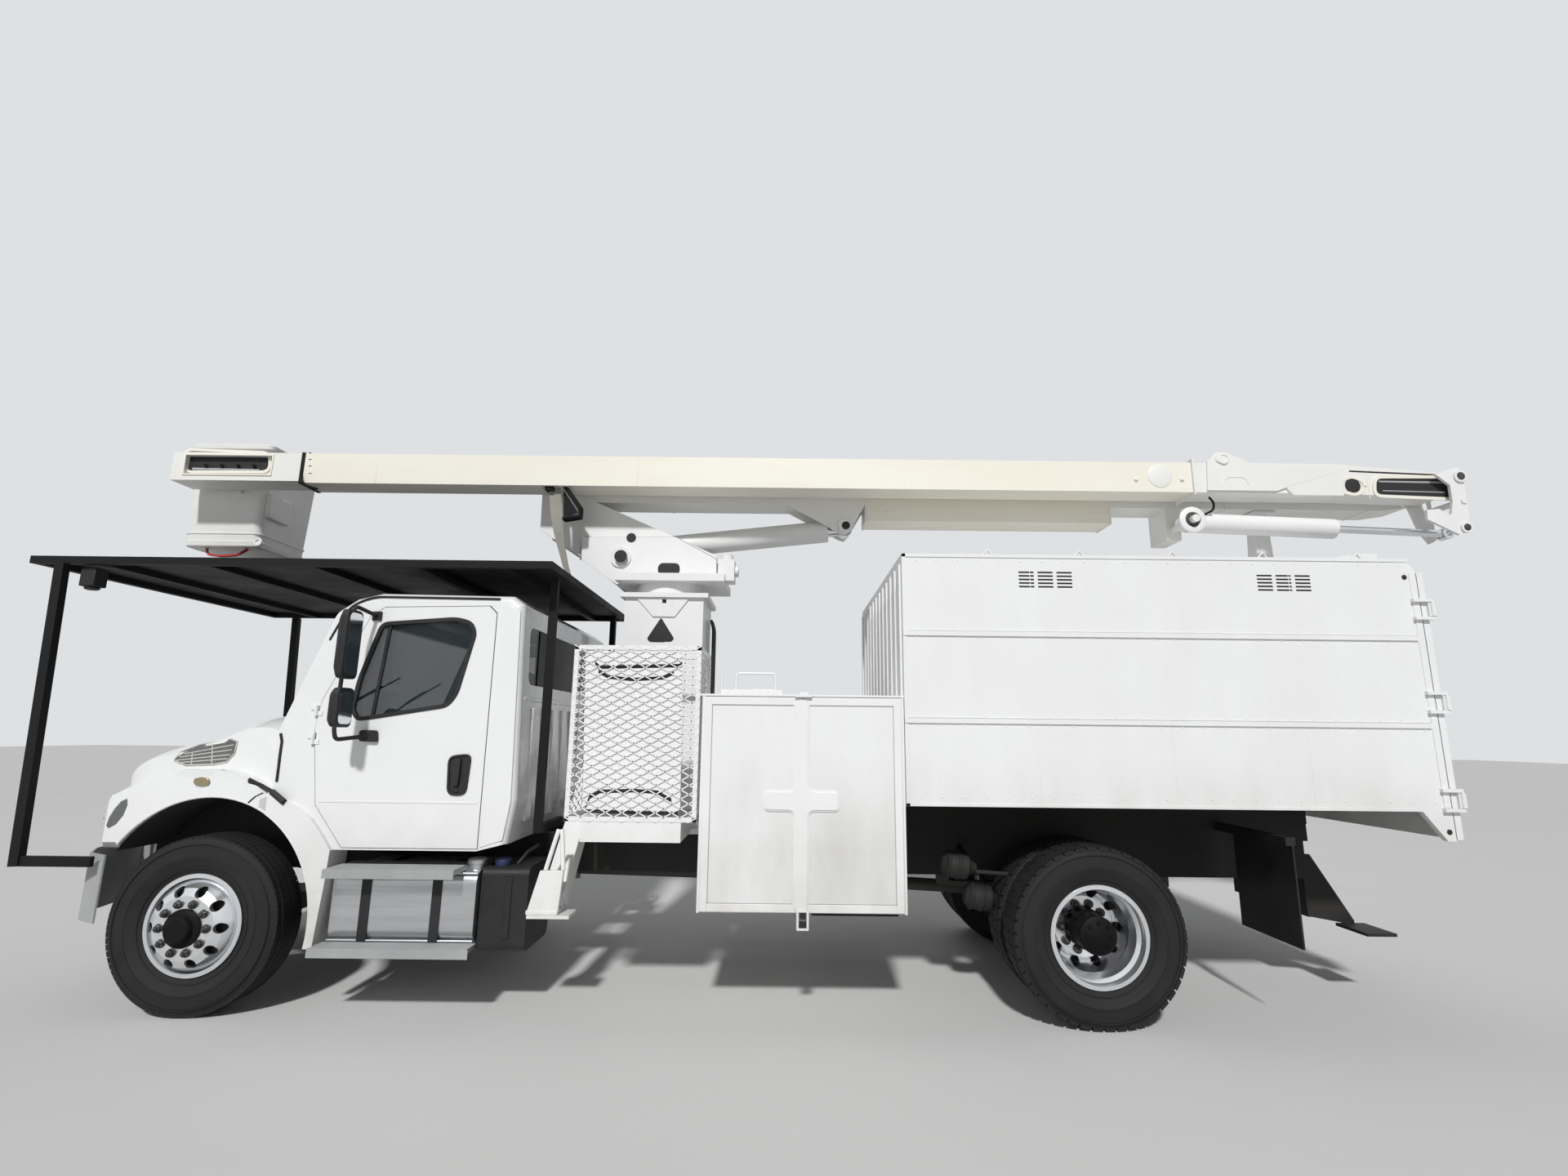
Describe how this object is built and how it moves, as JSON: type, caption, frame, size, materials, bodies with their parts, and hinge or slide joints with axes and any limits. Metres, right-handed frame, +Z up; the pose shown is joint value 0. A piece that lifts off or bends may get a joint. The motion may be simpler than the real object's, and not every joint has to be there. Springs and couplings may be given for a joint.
{
  "type": "cherry picker truck",
  "caption": "Two-axle truck with a tall closed chip body, an overcentre two-part boom on a turret, a one-man bucket and a cab guard.",
  "frame": {"origin": "on the ground under the middle of the overall box", "axes": "-X is the way the cab faces, +Z is up, -Y is the driver's side"},
  "size_m": [10.432, 2.93, 4.0699],
  "materials": {
    "white_paint": "gloss white paint",
    "black_paint": "satin black paint",
    "tyre_rubber": "matt rubber",
    "polished_aluminium": "polished",
    "bare_aluminium": "brushed",
    "black_plastic": "grained plastic",
    "grey_plastic": "grained plastic",
    "glass": "tinted",
    "boom_fibreglass": "aged gelcoat",
    "white_fibreglass": "aged gelcoat",
    "bumper_grey": "satin grey paint",
    "cast_black": "oily cast iron",
    "rod_chrome": "polished",
    "grille_grey": "satin",
    "mirror_black": "grained plastic"
  },
  "bodies": {
    "chassis": {"frame_rails": "black_paint", "axles": "cast_black", "leaf_springs": "cast_black", "engine_block": "cast_black", "front_bumper": "bumper_grey", "cab_shell": "white_paint", "cab_glass": "glass", "cab_interior": "grey_plastic", "fuel_tank": "bare_aluminium", "def_tank": "black_plastic", "guard_roof": "black_paint", "guard_posts": "black_paint", "guard_struts": "black_paint", "pedestal": "white_paint", "basket": "white_paint", "outrigger_housing": "white_paint", "tool_box": "white_paint", "body_subframe": "black_paint", "chip_body": "white_paint", "mud_flaps": "black_plastic", "hitch_plate": "black_paint"},
    "hood": {"hood": "white_paint", "grille_and_lamps": "grille_grey"},
    "turret": {"turret": "white_paint"},
    "lower_boom": {"lower_boom": "boom_fibreglass"},
    "lift_barrel": {"lift_barrel": "white_paint"},
    "lift_rod": {"lift_rod": "rod_chrome"},
    "yoke": {"yoke": "white_paint"},
    "fold_barrel": {"fold_barrel": "white_paint"},
    "fold_rod": {"fold_rod": "rod_chrome"},
    "upper_boom": {"upper_boom": "boom_fibreglass", "upper_boom_sleeve": "white_paint", "upper_boom_tip": "white_fibreglass"},
    "bucket": {"bucket": "white_fibreglass"},
    "knuckle_left": {"knuckle_left": "cast_black"},
    "front_wheel_left": {"tyre_front_left": "tyre_rubber", "rim_front_left": "polished_aluminium"},
    "rear_wheels_left": {"tyres_rear_left": "tyre_rubber", "rims_rear_left": "polished_aluminium"},
    "door_left": {"door_left": "white_paint", "door_glass_left": "glass", "mirror_left": "mirror_black"},
    "barn_door_left": {"barn_door_left": "white_paint"},
    "outrigger_leg_left": {"outrigger_leg_left": "white_paint"},
    "box_door_front_left": {"box_door_front_left": "white_paint"},
    "box_door_rear_left": {"box_door_rear_left": "white_paint"},
    "knuckle_right": {"knuckle_right": "cast_black"},
    "front_wheel_right": {"tyre_front_right": "tyre_rubber", "rim_front_right": "polished_aluminium"},
    "rear_wheels_right": {"tyres_rear_right": "tyre_rubber", "rims_rear_right": "polished_aluminium"},
    "door_right": {"door_right": "white_paint", "door_glass_right": "glass", "mirror_right": "mirror_black"},
    "barn_door_right": {"barn_door_right": "white_paint"},
    "outrigger_leg_right": {"outrigger_leg_right": "white_paint"},
    "box_door_front_right": {"box_door_front_right": "white_paint"},
    "box_door_rear_right": {"box_door_rear_right": "white_paint"}
  },
  "joints": [
    {"name": "steer_left", "type": "hinge", "parent": "chassis", "child": "knuckle_left", "pos_m": [-3.765, -0.87, 0.52], "axis": [0, 0, 1], "range_deg": [-40, 40]},
    {"name": "steer_right", "type": "hinge", "parent": "chassis", "child": "knuckle_right", "pos_m": [-3.765, 0.87, 0.52], "axis": [0, 0, 1], "range_deg": [-40, 40]},
    {"name": "front_wheel_spin_left", "type": "hinge", "parent": "knuckle_left", "child": "front_wheel_left", "pos_m": [-3.765, -1.04, 0.52], "axis": [0, 1, 0], "continuous": true},
    {"name": "rear_wheels_spin_left", "type": "hinge", "parent": "chassis", "child": "rear_wheels_left", "pos_m": [1.755, -0.91, 0.52], "axis": [0, 1, 0], "continuous": true},
    {"name": "front_wheel_spin_right", "type": "hinge", "parent": "knuckle_right", "child": "front_wheel_right", "pos_m": [-3.765, 1.04, 0.52], "axis": [0, 1, 0], "continuous": true},
    {"name": "rear_wheels_spin_right", "type": "hinge", "parent": "chassis", "child": "rear_wheels_right", "pos_m": [1.755, 0.91, 0.52], "axis": [0, 1, 0], "continuous": true},
    {"name": "hood_tilt", "type": "hinge", "parent": "chassis", "child": "hood", "pos_m": [-4.715, 0, 0.925], "axis": [0, -1, 0], "range_deg": [0, 65]},
    {"name": "door_swing_left", "type": "hinge", "parent": "chassis", "child": "door_left", "pos_m": [-3.187, -1.14, 1.5], "axis": [0, 0, -1], "range_deg": [0, 70]},
    {"name": "barn_door_swing_left", "type": "hinge", "parent": "chassis", "child": "barn_door_left", "pos_m": [4.04, -1.24, 1.9], "axis": [0, 0, -1], "range_deg": [0, 255]},
    {"name": "box_door_front_swing_left", "type": "hinge", "parent": "chassis", "child": "box_door_front_left", "pos_m": [-0.676, -1.2163, 1.29], "axis": [0, 0, -1], "range_deg": [0, 110]},
    {"name": "box_door_rear_swing_left", "type": "hinge", "parent": "chassis", "child": "box_door_rear_left", "pos_m": [0.576, -1.2163, 1.29], "axis": [0, 0, 1], "range_deg": [0, 110]},
    {"name": "outrigger_slide_left", "type": "slide", "parent": "chassis", "child": "outrigger_leg_left", "axis": [0, -0.723, -0.6909], "range_m": [0, 0.83]},
    {"name": "door_swing_right", "type": "hinge", "parent": "chassis", "child": "door_right", "pos_m": [-3.187, 1.14, 1.5], "axis": [0, 0, 1], "range_deg": [0, 70]},
    {"name": "barn_door_swing_right", "type": "hinge", "parent": "chassis", "child": "barn_door_right", "pos_m": [4.04, 1.24, 1.9], "axis": [0, 0, 1], "range_deg": [0, 255]},
    {"name": "box_door_front_swing_right", "type": "hinge", "parent": "chassis", "child": "box_door_front_right", "pos_m": [-0.676, 1.2163, 1.29], "axis": [0, 0, 1], "range_deg": [0, 110]},
    {"name": "box_door_rear_swing_right", "type": "hinge", "parent": "chassis", "child": "box_door_rear_right", "pos_m": [0.576, 1.2163, 1.29], "axis": [0, 0, -1], "range_deg": [0, 110]},
    {"name": "outrigger_slide_right", "type": "slide", "parent": "chassis", "child": "outrigger_leg_right", "axis": [0, 0.723, -0.6909], "range_m": [0, 0.83]},
    {"name": "turret_swing", "type": "hinge", "parent": "chassis", "child": "turret", "pos_m": [-1.11, 0, 2.865], "axis": [0, 0, 1], "continuous": true},
    {"name": "lower_boom_lift", "type": "hinge", "parent": "turret", "child": "lower_boom", "pos_m": [-2.115, 0.16, 3.8], "axis": [0, -1, 0], "range_deg": [0, 85]},
    {"name": "lift_barrel_pivot", "type": "hinge", "parent": "turret", "child": "lift_barrel", "pos_m": [-1.408, 0.14, 3.226], "axis": [0, -1, 0], "range_deg": [0, 86.04]},
    {"name": "lift_rod_slide", "type": "slide", "parent": "lift_barrel", "child": "lift_rod", "axis": [0.9938, 0, 0.1114], "range_m": [0, 1.232]},
    {"name": "yoke_level", "type": "hinge", "parent": "lower_boom", "child": "yoke", "pos_m": [5.005, 0, 3.72], "axis": [0, 1, 0], "range_deg": [0, 85.1]},
    {"name": "elbow", "type": "hinge", "parent": "yoke", "child": "upper_boom", "pos_m": [5.005, -0.2, 3.72], "axis": [0, 1, 0], "range_deg": [0, 110]},
    {"name": "bucket_level", "type": "hinge", "parent": "upper_boom", "child": "bucket", "pos_m": [-4.845, -0.06, 3.77], "axis": [0, -1, 0], "range_deg": [0, 110.1]},
    {"name": "fold_barrel_pivot", "type": "hinge", "parent": "lower_boom", "child": "fold_barrel", "pos_m": [3.087, -0.19, 3.421], "axis": [0, -1, 0], "range_deg": [0, 5.88]},
    {"name": "fold_rod_slide", "type": "slide", "parent": "fold_barrel", "child": "fold_rod", "axis": [-0.9994, 0, 0.0346], "range_m": [0, 0.5191]}
  ],
  "couplings": [
    {"joint": "steer_right", "follows": "steer_left", "ratio": 1},
    {"joint": "lift_barrel_pivot", "follows": "lower_boom_lift", "ratio": 1.0099},
    {"joint": "lift_rod_slide", "follows": "lower_boom_lift", "m_per_rad": 0.82912},
    {"joint": "yoke_level", "follows": "lower_boom_lift", "ratio": 1},
    {"joint": "bucket_level", "follows": "elbow", "ratio": 1},
    {"joint": "fold_barrel_pivot", "follows": "lower_boom_lift", "ratio": 0.06779},
    {"joint": "fold_rod_slide", "follows": "lower_boom_lift", "m_per_rad": 0.34858}
  ]
}
